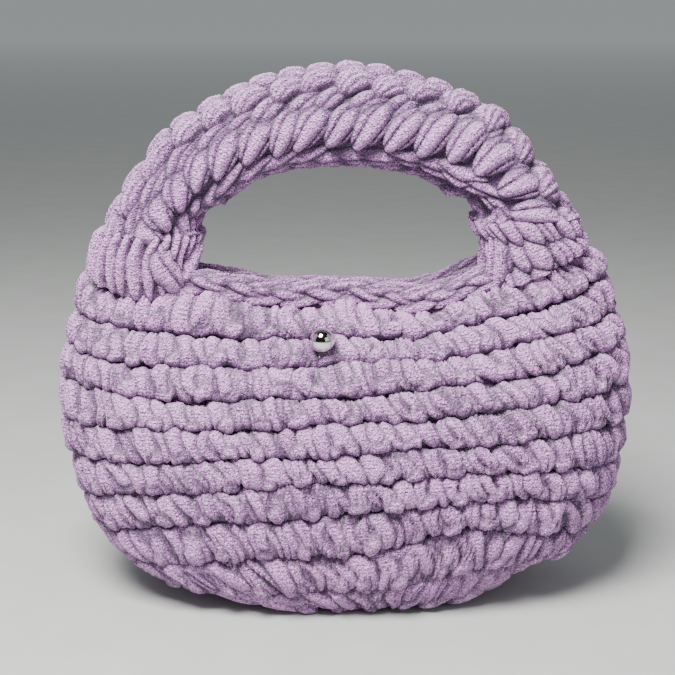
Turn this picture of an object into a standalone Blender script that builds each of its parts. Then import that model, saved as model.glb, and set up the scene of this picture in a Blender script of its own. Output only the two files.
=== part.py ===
"""Crocheted hand bag of thick chenille yarn, with a metal ball stud on the front.

Metres, +X to the right, the front at -Y, +Z up. The origin is on the floor under the middle of the bag.
A flat oval base carries a hollow body of ten plump rows. Two plaited rims edge its mouth, and an arched
handle stands on two roots at the ends of the top row. The stud's post goes through the front wall.
"""

import math
from collections import namedtuple

import bmesh
import bpy
import numpy as np
from mathutils import Matrix, Vector

# Body: the outside over the widest row, and the height of the top row at the front centre
BODY_WIDTH = 0.241
BODY_DEPTH = 0.097
BODY_HEIGHT = 0.132
WALL = 0.011
ROW_GROOVE = 0.0038
# Power of the rows' round backs: smaller is plumper, with a narrower groove
ROW_ROUNDNESS = 0.6
OVAL_POWER = 2.7

# The way the soft body stands: rows rise to the right, row ends curve up, and the foot slumps to the right
ROW_TILT = 0.065
END_RISE = 0.019
FOOT_SHIFT = 0.009
HUMP_RISE = 0.008
HUMP_PLACE = 0.050
HUMP_REACH = 0.030
ROW_WANDER = 0.0007
WANDER_LENGTH = 0.070
# Turn of the wander from one row to the next, in radians
WANDER_TURN = 2.4

# The mouth, drawn together at its middle by the closed stud. Its back edge sags below the front one, and
# its lip sags at the right of the middle and is lifted beside the left root.
MOUTH_PINCH = 0.0045
MOUTH_REACH = 0.060
BACK_SAG = 0.003
LIP_SAG = 0.0055
LIP_SAG_PLACE = 0.033
LIP_LIFT = 0.0050
LIP_LIFT_PLACE = -0.056
LIP_REACH = 0.021

# Base
BASE_THICKNESS = 0.010
BASE_EDGE = 0.008
BASE_SOFTNESS = 0.003

# Handle: its centre line is half a superellipse. Its ends stand in from the ends of the top row, and its
# foot and the seams with its roots are heights above the top row.
HANDLE_INSET = 0.0251
HANDLE_RISE = 0.0655
HANDLE_FOOT = 0.008
HANDLE_PLACE = -0.0030
HANDLE_LEAN = 0.0030
HANDLE_POWER = 2.05
HANDLE_OVAL_POWER = 2.3
HANDLE_THICKNESS = 0.0425
HANDLE_DEPTH = 0.037
HANDLE_LOBE = 0.0155
LOBE_RELIEF = 0.0030
# Lobes over which the handle's sections turn from level, at a seam, to square with its centre line
SEAM_LOBES = 2.0

# Roots: the handle's feet, from the top row up to their seams with the arch
ROOT_WIDTH = 0.046
ROOT_DEPTH = 0.040
ROOT_POWER = 2.4
ROOT_SEAM_LEFT = 0.028
ROOT_SEAM_RIGHT = 0.034
ROOT_SWELL = 0.0022
# Share of a root's height that stands upright, so that the rims end against it
ROOT_UPRIGHT = 0.5

# Rims: plaited edges of the mouth
RIM_HEIGHT = 0.011
RIM_DEPTH = 0.0105
RIM_PLAIT = 0.020
PLAIT_RELIEF = 0.0009
# Share of a root's half depth up to which a rim's end follows the root's face
RIM_SEAT = 0.75

# Stud
BALL_DIAMETER = 0.010
FLANGE_DIAMETER = 0.0116
FLANGE_THICKNESS = 0.0012
NECK_DIAMETER = 0.0050
NECK_LENGTH = 0.0012
POST_DIAMETER = 0.0040
DISC_DIAMETER = 0.0120
DISC_THICKNESS = 0.0014
STUD_PLACE = -0.0068
STUD_LEVEL = 8.6
STUD_SINK = 0.0030

# Space left between neighbouring pieces, where they sit on the curved top of the wall, and at rim ends
GAP = 0.0003
SADDLE_GAP = 0.0006
RIM_END_GAP = 0.0008

# Step in level and in angle over which the body's slope is measured
SLOPE_STEP = 0.01

# Fineness of the faceted surfaces
ROUND_STEPS = 56
INSIDE_STEPS = 12
HANDLE_ROUND = 20
STEPS_PER_LOBE = 4
RIM_ROUND = 10
RIM_STEPS = 34
SADDLE_RINGS = (0.3, 0.65)
ROOT_STEPS = 8
STUD_ROUND = 20
BALL_RINGS = 9

# Sections of the body, a line for each groove between rows, from the floor up. Width and depth are shares
# of BODY_WIDTH and BODY_DEPTH, height of BODY_HEIGHT, ends of END_RISE, shift of FOOT_SHIFT, hump of
# HUMP_RISE, and mouth of the sizes of the mouth.
Section = namedtuple("Section", "width depth height ends shift hump mouth")
SECTIONS = (
    Section(0.400, 0.640, 0.000, 0.00, 0.85, 0.00, 0.0),
    Section(0.705, 0.850, 0.098, 0.00, 0.70, 0.60, 0.0),
    Section(0.850, 0.945, 0.236, -0.30, 0.55, 1.00, 0.0),
    Section(0.925, 0.985, 0.374, -0.42, 0.45, 0.45, 0.0),
    Section(0.965, 1.000, 0.486, -0.42, 0.30, 0.00, 0.0),
    Section(0.990, 0.975, 0.577, -0.15, 0.15, 0.00, 0.0),
    Section(1.000, 0.920, 0.669, 0.12, 0.00, 0.00, 0.0),
    Section(0.990, 0.835, 0.752, 0.40, -0.10, 0.00, 0.0),
    Section(0.965, 0.715, 0.845, 0.45, -0.20, 0.00, 0.1),
    Section(0.930, 0.570, 0.918, 0.68, -0.25, 0.00, 0.4),
    Section(0.885, 0.425, 1.000, 1.00, -0.25, 0.00, 1.0),
)
TOP_LEVEL = float(len(SECTIONS) - 1)
TOP_SHIFT = FOOT_SHIFT * SECTIONS[-1].shift

# Sizes that follow from the body's
HANDLE_SPAN = BODY_WIDTH * SECTIONS[-1].width - 2 * HANDLE_INSET
SEAM_LEFT = BODY_HEIGHT + ROOT_SEAM_LEFT
SEAM_RIGHT = BODY_HEIGHT + ROOT_SEAM_RIGHT

# Sections of the handle from its left seam to its right one. Place is a share of its length, thick of
# HANDLE_THICKNESS and deep of HANDLE_DEPTH.
HandleSection = namedtuple("HandleSection", "place thick deep")
HANDLE_SECTIONS = (
    HandleSection(0.00, 1.09, 1.07),
    HandleSection(0.12, 0.97, 1.03),
    HandleSection(0.25, 0.90, 1.00),
    HandleSection(0.50, 1.00, 1.00),
    HandleSection(0.75, 0.93, 1.00),
    HandleSection(0.88, 1.02, 1.04),
    HandleSection(1.00, 1.10, 1.07),
)

# Places of the rings within one row, as shares of the row: in the groove, on both flanks and on the crest
ROW_STATIONS = (0.0, 0.17, 0.5, 0.83)


def section_share(name, level):
    """One column of the section table at a level between its lines, on a smooth curve through them."""
    values = np.array([getattr(section, name) for section in SECTIONS])
    slopes = np.gradient(values)
    low = np.clip(np.floor(level).astype(int), 0, len(values) - 2)
    t = level - low
    rise = values[low + 1] - values[low]
    return (values[low] + slopes[low] * t + (3 * rise - 2 * slopes[low] - slopes[low + 1]) * t**2
            + (slopes[low] + slopes[low + 1] - 2 * rise) * t**3)


def superellipse(angle, power):
    """The two coordinates of a unit superellipse, which is a rounded oblong for powers above 2."""
    along = np.sign(np.cos(angle)) * np.abs(np.cos(angle)) ** (2 / power)
    across = np.sign(np.sin(angle)) * np.abs(np.sin(angle)) ** (2 / power)
    return along, across


def bump(x, place, reach):
    """A smooth bump of height one at a place, which fades over its reach on both sides."""
    return np.exp(-((x - place) / reach) ** 2)


def between_roots(x):
    """One at the middle of the mouth, falling smoothly to nothing at the roots."""
    return np.clip(1 - (x / MOUTH_REACH) ** 2, 0.0, 1.0) ** 2


def level_height(level, x, across):
    """Height of a row's edge above the floor: its ends curve up or down and it rises to the right."""
    half_width = BODY_WIDTH / 2 * section_share("width", level)
    ends = END_RISE * section_share("ends", level) * np.abs(x / half_width) ** 3
    tilt = ROW_TILT * np.clip(level, 0.0, 1.0) * x
    front = np.clip(0.5 - across, 0.0, 1.0)
    hump = HUMP_RISE * section_share("hump", level) * front * bump(x, HUMP_PLACE, HUMP_REACH)
    lip = LIP_SAG * bump(x, LIP_SAG_PLACE, LIP_REACH) - LIP_LIFT * bump(x, LIP_LIFT_PLACE, LIP_REACH)
    back = BACK_SAG * np.clip(0.5 + across, 0.0, 1.0) * between_roots(x)
    sag = section_share("mouth", level) * (lip + back)
    inner_rows = np.clip(level, 0.0, 1.0) * np.clip(TOP_LEVEL - level, 0.0, 1.0)
    wander = ROW_WANDER * inner_rows * np.sin(2 * math.pi * x / WANDER_LENGTH + WANDER_TURN * level)
    return BODY_HEIGHT * section_share("height", level) + ends + tilt + hump + wander - sag


def body_form(level, angle):
    """The body's smooth outer form over the crests of its rows, at a level and an angle round the oval."""
    along, across = superellipse(angle, OVAL_POWER)
    x = BODY_WIDTH / 2 * section_share("width", level) * along
    pinch = MOUTH_PINCH * section_share("mouth", level) * between_roots(x)
    y = (BODY_DEPTH / 2 * section_share("depth", level) - pinch) * across
    z = level_height(level, x, across)
    return np.stack([x + FOOT_SHIFT * section_share("shift", level), y, z], axis=-1)


def body_surface(level, angle, inset):
    """The body's form moved inwards along its normal by an inset."""
    low = np.clip(level - SLOPE_STEP, 0.0, TOP_LEVEL)
    high = np.clip(level + SLOPE_STEP, 0.0, TOP_LEVEL)
    round_way = body_form(level, angle + SLOPE_STEP) - body_form(level, angle - SLOPE_STEP)
    upward = body_form(high, angle) - body_form(low, angle)
    normal = np.cross(round_way, upward)
    normal /= np.linalg.norm(normal, axis=-1, keepdims=True)
    return body_form(level, angle) - normal * np.expand_dims(inset, -1)


def row_inset(level):
    """Depth below the crests: a round-backed roll for each row, with a narrow groove at each whole level."""
    return ROW_GROOVE * (1 - np.abs(np.sin(np.pi * level)) ** ROW_ROUNDNESS)


def top_height(x, across):
    """Height of the flat top of the wall, which carries the rims and the roots."""
    return level_height(np.full(np.shape(x), TOP_LEVEL), x - TOP_SHIFT, across)


def new_object(name, rings, closed_ends=True):
    """A mesh through rings of points, each ring joined to the next, with both end rings filled."""
    mesh = bpy.data.meshes.new(name)
    shape = bmesh.new()
    loops = [[shape.verts.new(point) for point in ring] for ring in rings]
    count = len(loops[0])
    pairs = list(zip(loops[:-1], loops[1:]))
    if not closed_ends:
        pairs.append((loops[-1], loops[0]))
    for lower, upper in pairs:
        for k in range(count):
            following = (k + 1) % count
            shape.faces.new((lower[k], lower[following], upper[following], upper[k]))
    if closed_ends:
        shape.faces.new(loops[0])
        shape.faces.new(loops[-1])
    bmesh.ops.triangulate(shape, faces=[face for face in shape.faces if len(face.verts) > 4])
    bmesh.ops.recalc_face_normals(shape, faces=shape.faces)
    shape.to_mesh(mesh)
    shape.free()
    mesh.shade_smooth()
    mesh.set_sharp_from_angle(angle=math.radians(50))
    made = bpy.data.objects.new(name, mesh)
    bpy.context.scene.collection.objects.link(made)
    return made


def turned(name, profile, steps, place):
    """A closed body turned round its own Z axis from a profile of (radius, height) pairs, then placed."""
    turn = np.arange(steps) * 2 * math.pi / steps
    rings = []
    for radius, height in profile:
        flat = np.stack([radius * np.cos(turn), radius * np.sin(turn), np.full(steps, height)], axis=-1)
        rings.append([place @ Vector(point) for point in flat])
    return new_object(name, rings)


def paint(made, name, colour, roughness, metallic=0.0):
    """Gives a piece its own material."""
    material = bpy.data.materials.new(name)
    material.use_nodes = True
    shader = material.node_tree.nodes["Principled BSDF"]
    shader.inputs["Base Color"].default_value = (*colour, 1.0)
    shader.inputs["Roughness"].default_value = roughness
    shader.inputs["Metallic"].default_value = metallic
    made.data.materials.append(material)


def oval_angles():
    """Angles of the points round the body, closed into a loop by the last pair."""
    return np.arange(ROUND_STEPS) * 2 * math.pi / ROUND_STEPS


def base_ring(half_width, half_depth, height):
    """A level oval ring under the body, centred on the foot."""
    along, across = superellipse(oval_angles(), OVAL_POWER)
    x = half_width * along + FOOT_SHIFT * SECTIONS[0].shift
    return np.stack([x, half_depth * across, np.full(ROUND_STEPS, height)], axis=-1)


def make_base():
    """The flat oval floor of the bag, set inside the foot of the wall."""
    half_width = BODY_WIDTH / 2 * SECTIONS[0].width - BASE_EDGE - GAP
    half_depth = BODY_DEPTH / 2 * SECTIONS[0].depth - BASE_EDGE - GAP
    rings = [
        base_ring(half_width, half_depth, 0.0),
        base_ring(half_width, half_depth, BASE_THICKNESS - BASE_SOFTNESS),
        base_ring(half_width - BASE_SOFTNESS, half_depth - BASE_SOFTNESS, BASE_THICKNESS),
    ]
    return new_object("base_oval", rings)


def make_wall():
    """The hollow body: ridged rows outside, a smooth inside, a flat top and an open foot round the base."""
    angle = oval_angles()
    rings = []
    for row in range(int(TOP_LEVEL)):
        for share in ROW_STATIONS:
            level = np.full(ROUND_STEPS, row + share)
            inset = row_inset(level) if row + share > 0 else np.zeros(ROUND_STEPS)
            rings.append(body_surface(level, angle, inset))
    rings.append(top_ring(angle, ROW_GROOVE))
    rings.append(top_ring(angle, WALL))
    for level_now in np.linspace(TOP_LEVEL - 0.5, 0.5, INSIDE_STEPS):
        level = np.full(ROUND_STEPS, level_now)
        rings.append(body_surface(level, angle, np.full(ROUND_STEPS, WALL)))
    half_width = BODY_WIDTH / 2 * SECTIONS[0].width - BASE_EDGE
    half_depth = BODY_DEPTH / 2 * SECTIONS[0].depth - BASE_EDGE
    rings.append(base_ring(half_width, half_depth, BASE_THICKNESS))
    rings.append(base_ring(half_width, half_depth, 0.0))
    return new_object("body_wall", rings, closed_ends=False)


def top_ring(angle, inset):
    """A ring on the wall's flat top, drawn in level by an inset."""
    along, across = superellipse(angle, OVAL_POWER)
    x = (BODY_WIDTH / 2 * SECTIONS[-1].width - inset) * along
    y = (BODY_DEPTH / 2 * SECTIONS[-1].depth - MOUTH_PINCH * between_roots(x) - inset) * across
    return np.stack([x + TOP_SHIFT, y, top_height(x + TOP_SHIFT, np.sign(across))], axis=-1)


def handle_line(count):
    """Points along the handle's centre line from the left seam to the right one, evenly spaced."""
    turn = np.linspace(math.pi, 0.0, 2001)
    along, across = superellipse(turn, HANDLE_POWER)
    x = HANDLE_PLACE + HANDLE_SPAN / 2 * along + HANDLE_LEAN * across
    z = BODY_HEIGHT + HANDLE_FOOT + HANDLE_RISE * across
    keep = np.where(x < HANDLE_PLACE, z >= SEAM_LEFT + GAP, z >= SEAM_RIGHT + GAP)
    x = x[keep]
    z = z[keep]
    length = np.concatenate([[0.0], np.cumsum(np.hypot(np.diff(x), np.diff(z)))])
    even = np.linspace(0.0, length[-1], count)
    return np.interp(even, length, x), np.interp(even, length, z), length[-1]


def handle_section(share):
    """Half thickness and half depth of the handle at a share of its length."""
    places = [section.place for section in HANDLE_SECTIONS]
    thick = np.interp(share, places, [section.thick for section in HANDLE_SECTIONS])
    deep = np.interp(share, places, [section.deep for section in HANDLE_SECTIONS])
    return HANDLE_THICKNESS / 2 * thick, HANDLE_DEPTH / 2 * deep


def make_arch():
    """The arched handle: an oval section along the centre line, with lobes that lean round it."""
    rough_length = handle_line(50)[2]
    stations = int(round(rough_length / HANDLE_LOBE)) * STEPS_PER_LOBE + 1
    x, z, length = handle_line(stations)
    share = np.linspace(0.0, 1.0, stations)
    slope_x = np.gradient(x)
    slope_z = np.gradient(z)
    size = np.hypot(slope_x, slope_z)
    lobes_in = np.minimum(share, 1 - share) * length / HANDLE_LOBE
    out_x = -slope_z / size
    out_z = slope_x / size * np.clip(lobes_in / SEAM_LOBES, 0.0, 1.0)
    turn = np.arange(HANDLE_ROUND) * 2 * math.pi / HANDLE_ROUND
    along, across = superellipse(turn, HANDLE_OVAL_POWER)
    thick, deep = handle_section(share)
    lobes = np.cos(2 * math.pi * share[:, None] * length / HANDLE_LOBE + 2 * turn[None, :])
    relief = LOBE_RELIEF / 2 * (lobes - 1) * np.clip(lobes_in, 0.0, 1.0)[:, None]
    radial = (thick[:, None] + relief) * along[None, :]
    depth = (deep[:, None] + relief) * across[None, :]
    around_x = x[:, None] + out_x[:, None] * radial
    around_z = z[:, None] + out_z[:, None] * radial
    points = np.stack([around_x, -depth, around_z], axis=-1)
    points[0, :, 2] = SEAM_LEFT + GAP
    points[-1, :, 2] = SEAM_RIGHT + GAP
    return new_object("handle_arch", points), points[0], points[-1]


def root_place(side):
    """The x of a root's middle, under the handle's end; side is -1 at the left and 1 at the right."""
    return HANDLE_PLACE + side * HANDLE_SPAN / 2


def root_outline(side, turn):
    """A root's level outline round its middle, as x and y."""
    along, across = superellipse(turn, ROOT_POWER)
    return root_place(side) + side * ROOT_WIDTH / 2 * along, -ROOT_DEPTH / 2 * across


def root_face(side, y):
    """The x where a root's outline faces the mouth at a distance y from the middle plane."""
    reach = np.clip(1 - np.abs(y / (ROOT_DEPTH / 2)) ** ROOT_POWER, 0.0, 1.0) ** (1 / ROOT_POWER)
    return root_place(side) - side * ROOT_WIDTH / 2 * reach


def make_root(name, side, seam_height, arch_ring, bands):
    """A handle foot: from the saddle of the wall's top up to the arch, in bands that swell outwards."""
    turn = np.arange(HANDLE_ROUND) * 2 * math.pi / HANDLE_ROUND
    out_x, out_y = root_outline(side, turn)
    middle = root_place(side)
    outward = np.clip(0.5 + side * (out_x - middle) / ROOT_WIDTH, 0.0, 1.0)
    rings = []
    for size in SADDLE_RINGS:
        x = middle + (out_x - middle) * size
        rings.append(np.stack([x, out_y * size, top_height(x, 0.0) + SADDLE_GAP], axis=-1))
    for share in np.linspace(0.0, 1.0, ROOT_STEPS + 1):
        late = max(0.0, (share - ROOT_UPRIGHT) / (1 - ROOT_UPRIGHT))
        blend = late**2 * (3 - 2 * late) * (1 - outward) + share * outward
        swell = ROOT_SWELL * abs(math.sin(math.pi * bands * share)) ** ROW_ROUNDNESS * outward
        x = out_x + (arch_ring[:, 0] - out_x) * blend
        y = out_y + (arch_ring[:, 1] - out_y) * blend
        x = x + (x - middle) / (ROOT_WIDTH / 2) * swell
        y = y * (1 + swell / (ROOT_DEPTH / 2))
        z = (top_height(x, 0.0) + SADDLE_GAP) * (1 - share) + seam_height * share
        rings.append(np.stack([x, y, z], axis=-1))
    return new_object(name, rings)


def make_rim(name, side):
    """A plaited edge on the wall's top, from one root to the other; side is -1 at the front and 1 behind."""
    share = np.linspace(0.0, 1.0, RIM_STEPS + 1)[:, None]
    turn = (np.arange(RIM_ROUND) * 2 * math.pi / RIM_ROUND)[None, :]
    half_width = BODY_WIDTH / 2 * SECTIONS[-1].width - (ROW_GROOVE + WALL) / 2
    half_depth = BODY_DEPTH / 2 * SECTIONS[-1].depth - (ROW_GROOVE + WALL) / 2
    rough_x = root_place(-1) + ROOT_WIDTH / 2 + (HANDLE_SPAN - ROOT_WIDTH) * share
    pinched = half_depth - MOUTH_PINCH * between_roots(rough_x - TOP_SHIFT)
    centre_y = pinched * (1 - np.abs((rough_x - TOP_SHIFT) / half_width) ** OVAL_POWER) ** (1 / OVAL_POWER)
    plait = PLAIT_RELIEF * np.cos(2 * math.pi * rough_x / RIM_PLAIT + 2 * turn)
    y = side * (centre_y + (RIM_DEPTH / 2 + plait) * np.cos(turn))
    seat_y = np.minimum(np.abs(y), ROOT_DEPTH / 2 * RIM_SEAT)
    left = root_face(-1, seat_y) + RIM_END_GAP
    right = root_face(1, seat_y) - RIM_END_GAP
    x = left + (right - left) * share
    floor = top_height(x, float(side)) + SADDLE_GAP
    z = np.maximum(floor + RIM_HEIGHT / 2 - GAP + (RIM_HEIGHT / 2 + plait) * np.sin(turn), floor)
    return new_object(name, np.stack([x, y, z], axis=-1))


def stud_frame():
    """The stud's place: its Z axis points out of the front wall, and its origin is on the flange's seat."""
    half_width = BODY_WIDTH / 2 * section_share("width", np.array(STUD_LEVEL))
    along = STUD_PLACE / half_width
    angle = np.array(-math.acos(np.sign(along) * abs(along) ** (OVAL_POWER / 2)))
    level = np.array(STUD_LEVEL)
    outside = body_surface(level, angle, np.array(0.0))
    seat = body_surface(level, angle, np.array(STUD_SINK))
    outward = Vector(outside - seat).normalized()
    turn = outward.to_track_quat("Z", "Y").to_matrix().to_4x4()
    return Matrix.Translation(Vector(seat)) @ turn


def make_stud(wall):
    """The ball stud and its post, and the spool-shaped hole for both through the front wall."""
    place = stud_frame()
    ball = BALL_DIAMETER / 2
    neck = NECK_DIAMETER / 2
    flange = FLANGE_DIAMETER / 2
    post = POST_DIAMETER / 2
    disc = DISC_DIAMETER / 2
    through = WALL - STUD_SINK - DISC_THICKNESS
    neck_top = FLANGE_THICKNESS + NECK_LENGTH
    meet = math.asin(neck / ball)
    centre = neck_top + ball * math.cos(meet)
    rounds = [(math.pi - meet) * (1 - k / BALL_RINGS) for k in range(1, BALL_RINGS)]
    profile = [(flange, 0.0), (flange, FLANGE_THICKNESS / 2), (flange - FLANGE_THICKNESS / 2, FLANGE_THICKNESS)]
    profile += [(neck, FLANGE_THICKNESS), (neck, neck_top)]
    profile += [(ball * math.sin(angle), centre + ball * math.cos(angle)) for angle in rounds]
    snap_ball = turned("snap_ball", profile, STUD_ROUND, place)
    back = -through - DISC_THICKNESS
    profile = [(disc, back), (disc, -through), (post, -through), (post, -GAP)]
    snap_post = turned("snap_post", profile, STUD_ROUND, place)
    profile = [(disc + GAP, back - WALL), (disc + GAP, -through + GAP), (post + GAP, -through + GAP)]
    profile += [(post + GAP, -GAP), (flange + GAP, -GAP), (flange + GAP, WALL)]
    cutter = turned("stud_hole", profile, STUD_ROUND, place)
    cutter.hide_render = True
    cutter.display_type = "WIRE"
    hole = wall.modifiers.new("stud_hole", "BOOLEAN")
    hole.operation = "DIFFERENCE"
    hole.solver = "EXACT"
    hole.object = cutter
    return snap_ball, snap_post


def make_bag():
    """Every piece of the bag, with its material."""
    yarn = (0.55, 0.40, 0.60)
    metal = (0.78, 0.78, 0.80)
    base = make_base()
    wall = make_wall()
    arch, left_ring, right_ring = make_arch()
    left = make_root("root_left", -1, SEAM_LEFT, left_ring, 1)
    right = make_root("root_right", 1, SEAM_RIGHT, right_ring, 2)
    front = make_rim("rim_front", -1)
    back = make_rim("rim_back", 1)
    ball, post = make_stud(wall)
    for piece in (base, wall, arch, left, right, front, back):
        paint(piece, piece.name + "_yarn", yarn, 0.95)
    for piece in (ball, post):
        paint(piece, piece.name + "_metal", metal, 0.15, 1.0)


def main():
    """Empties the scene and models the bag."""
    for old in list(bpy.data.objects):
        bpy.data.objects.remove(old, do_unlink=True)
    make_bag()


main()
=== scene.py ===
"""Looks of the crocheted hand bag: thick lilac chenille yarn and a polished ball stud.

Metres, +X to the right, the front at -Y, +Z up. The origin is on the floor under the middle of the bag.
The yarn is a relief on closed skins that follow the bag's forms: ten rows round the body, the arched
handle, its two roots and the two rims. The base is laid in single strands. A surface takes a place along
and across the piece and a lift above it, as whole arrays, and gives points.
"""

import math
from collections import namedtuple

import bpy
import numpy as np
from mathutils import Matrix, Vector


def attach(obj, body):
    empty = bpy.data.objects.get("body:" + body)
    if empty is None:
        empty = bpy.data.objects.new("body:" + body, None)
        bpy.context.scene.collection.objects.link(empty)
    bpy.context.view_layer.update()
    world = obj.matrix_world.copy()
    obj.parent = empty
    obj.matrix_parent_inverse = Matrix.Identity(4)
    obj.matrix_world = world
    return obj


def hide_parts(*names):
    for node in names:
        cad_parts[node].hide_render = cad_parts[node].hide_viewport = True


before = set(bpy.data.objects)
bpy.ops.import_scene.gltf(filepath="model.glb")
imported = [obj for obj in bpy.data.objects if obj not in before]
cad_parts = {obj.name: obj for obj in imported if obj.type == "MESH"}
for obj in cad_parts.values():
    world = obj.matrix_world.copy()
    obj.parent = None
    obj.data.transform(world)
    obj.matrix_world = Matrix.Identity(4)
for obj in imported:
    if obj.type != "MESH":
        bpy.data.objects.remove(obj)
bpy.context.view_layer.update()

# Body: the outside over the widest row, and the height of the top row at the front centre
BODY_WIDTH = 0.241
BODY_DEPTH = 0.097
BODY_HEIGHT = 0.132
WALL = 0.011
OVAL_POWER = 2.7

# The way the soft body stands: rows rise to the right, row ends curve up, and the foot slumps to the right
ROW_TILT = 0.065
END_RISE = 0.019
FOOT_SHIFT = 0.009
HUMP_RISE = 0.008
HUMP_PLACE = 0.050
HUMP_REACH = 0.030
ROW_WANDER = 0.0007
WANDER_LENGTH = 0.070
WANDER_TURN = 2.4

# The mouth, drawn together at its middle, with its back edge below the front one
MOUTH_PINCH = 0.0045
MOUTH_REACH = 0.060
BACK_SAG = 0.003
LIP_SAG = 0.0055
LIP_SAG_PLACE = 0.033
LIP_LIFT = 0.0050
LIP_LIFT_PLACE = -0.056
LIP_REACH = 0.021

# Base
BASE_THICKNESS = 0.010
BASE_EDGE = 0.008
FLOOR_GAP = 0.0001

# Handle: its centre line is half a superellipse
HANDLE_SPAN = 0.163
HANDLE_RISE = 0.0655
HANDLE_FOOT = 0.140
HANDLE_PLACE = -0.0030
HANDLE_LEAN = 0.0030
HANDLE_POWER = 2.05
HANDLE_OVAL_POWER = 2.3
HANDLE_THICKNESS = 0.0425
HANDLE_DEPTH = 0.037
SEAM_REACH = 0.031

# Roots: the handle's feet
ROOT_WIDTH = 0.046
ROOT_DEPTH = 0.040
ROOT_POWER = 2.4
ROOT_SEAM_LEFT = 0.160
ROOT_SEAM_RIGHT = 0.166

# Rims: plaited edges of the mouth
RIM_HEIGHT = 0.011
BACK_RIM_SAG = 0.0028

# Stud
BALL_DIAMETER = 0.010
FLANGE_DIAMETER = 0.0116
FLANGE_THICKNESS = 0.0012
NECK_DIAMETER = 0.0050
NECK_LENGTH = 0.0012
STUD_PLACE = -0.0068
STUD_LEVEL = 8.6
STUD_SINK = 0.0030
STUD_DIMPLE = 0.0070
STUD_DIMPLE_DEPTH = 0.0002
STUD_DIMPLE_SHADE = 0.55

# Sections of the body, a line for each groove between rows, from the floor up. Width and depth are shares
# of BODY_WIDTH and BODY_DEPTH, height of BODY_HEIGHT, ends of END_RISE, shift of FOOT_SHIFT, hump of
# HUMP_RISE, and mouth of the sizes of the mouth.
Section = namedtuple("Section", "width depth height ends shift hump mouth")
SECTIONS = (
    Section(0.400, 0.640, 0.000, 0.00, 0.85, 0.00, 0.0),
    Section(0.705, 0.850, 0.098, 0.00, 0.70, 0.60, 0.0),
    Section(0.850, 0.945, 0.236, -0.30, 0.55, 1.00, 0.0),
    Section(0.925, 0.985, 0.374, -0.42, 0.45, 0.45, 0.0),
    Section(0.965, 1.000, 0.486, -0.42, 0.30, 0.00, 0.0),
    Section(0.990, 0.975, 0.577, -0.15, 0.15, 0.00, 0.0),
    Section(1.000, 0.920, 0.669, 0.12, 0.00, 0.00, 0.0),
    Section(0.990, 0.835, 0.752, 0.40, -0.10, 0.00, 0.0),
    Section(0.965, 0.715, 0.845, 0.45, -0.20, 0.00, 0.1),
    Section(0.930, 0.570, 0.918, 0.68, -0.25, 0.00, 0.4),
    Section(0.885, 0.425, 1.000, 1.00, -0.25, 0.00, 1.0),
)
TOP_LEVEL = float(len(SECTIONS) - 1)
TOP_SHIFT = FOOT_SHIFT * SECTIONS[-1].shift

# Sections of the handle from its left seam to its right one. Place is a share of its length, thick of
# HANDLE_THICKNESS and deep of HANDLE_DEPTH.
HandleSection = namedtuple("HandleSection", "place thick deep")
HANDLE_SECTIONS = (
    HandleSection(0.00, 1.09, 1.07),
    HandleSection(0.12, 0.97, 1.03),
    HandleSection(0.25, 0.90, 1.00),
    HandleSection(0.50, 1.00, 1.00),
    HandleSection(0.75, 0.93, 1.00),
    HandleSection(0.88, 1.02, 1.04),
    HandleSection(1.00, 1.10, 1.07),
)

# Fineness of the base's strands: stations along a strand and points round it
STATIONS = 20
ROUND = 12

# Size of the random swells of the pile
PILE = 0.00010


def section_share(name, level):
    """One column of the section table at a level between its lines, on a smooth curve through them."""
    values = np.array([getattr(section, name) for section in SECTIONS])
    slopes = np.gradient(values)
    low = np.clip(np.floor(level).astype(int), 0, len(values) - 2)
    t = level - low
    rise = values[low + 1] - values[low]
    return (values[low] + slopes[low] * t + (3 * rise - 2 * slopes[low] - slopes[low + 1]) * t**2
            + (slopes[low] + slopes[low + 1] - 2 * rise) * t**3)


def superellipse(angle, power):
    """The two coordinates of a unit superellipse: each is a signed power 2/p of the cosine or the sine."""
    along = np.sign(np.cos(angle)) * np.abs(np.cos(angle)) ** (2 / power)
    across = np.sign(np.sin(angle)) * np.abs(np.sin(angle)) ** (2 / power)
    return along, across


def bump(x, place, reach):
    """A bell curve of height one at a place, e to the minus square of the distance over the reach."""
    return np.exp(-((x - place) / reach) ** 2)


def between_roots(x):
    """One at the middle of the mouth, falling as the square of one minus x squared to none at the roots."""
    return np.clip(1 - (x / MOUTH_REACH) ** 2, 0.0, 1.0) ** 2


def level_height(level, x, across):
    """Height of a row's edge: its share of the height, plus cubic row ends, the tilt, the hump and the
    wander, less the sag of the mouth."""
    half_width = BODY_WIDTH / 2 * section_share("width", level)
    ends = END_RISE * section_share("ends", level) * np.abs(x / half_width) ** 3
    tilt = ROW_TILT * np.clip(level, 0.0, 1.0) * x
    front = np.clip(0.5 - across, 0.0, 1.0)
    hump = HUMP_RISE * section_share("hump", level) * front * bump(x, HUMP_PLACE, HUMP_REACH)
    lip = LIP_SAG * bump(x, LIP_SAG_PLACE, LIP_REACH) - LIP_LIFT * bump(x, LIP_LIFT_PLACE, LIP_REACH)
    back = BACK_SAG * np.clip(0.5 + across, 0.0, 1.0) * between_roots(x)
    sag = section_share("mouth", level) * (lip + back)
    inner_rows = np.clip(level, 0.0, 1.0) * np.clip(TOP_LEVEL - level, 0.0, 1.0)
    wander = ROW_WANDER * inner_rows * np.sin(2 * math.pi * x / WANDER_LENGTH + WANDER_TURN * level)
    return BODY_HEIGHT * section_share("height", level) + ends + tilt + hump + wander - sag


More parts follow.
